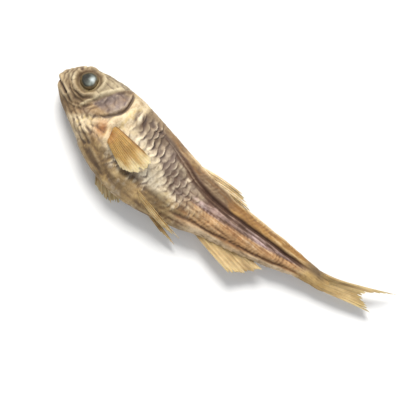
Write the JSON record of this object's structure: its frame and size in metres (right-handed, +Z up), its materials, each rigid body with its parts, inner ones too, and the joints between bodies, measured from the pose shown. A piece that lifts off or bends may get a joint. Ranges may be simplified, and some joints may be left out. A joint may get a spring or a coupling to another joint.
{
  "type": "freeze-dried minnow",
  "caption": "Small whole fish, freeze-dried and shrunken, lying on its right flank with its fins folded and its forked tail fin bent up.",
  "frame": {"origin": "middle of the bounding box's bottom face, on the plane the fish lies on", "axes": "+X from the snout to the tail, +Y from the belly to the back, +Z up out of the left flank"},
  "size_m": [0.0642, 0.0162, 0.0084],
  "materials": {
    "dried_skin": "dry fish skin, dull tan to grey-brown with a faint pearly sheen"
  },
  "bodies": {
    "root": {"minnow": "dried_skin"}
  },
  "joints": []
}
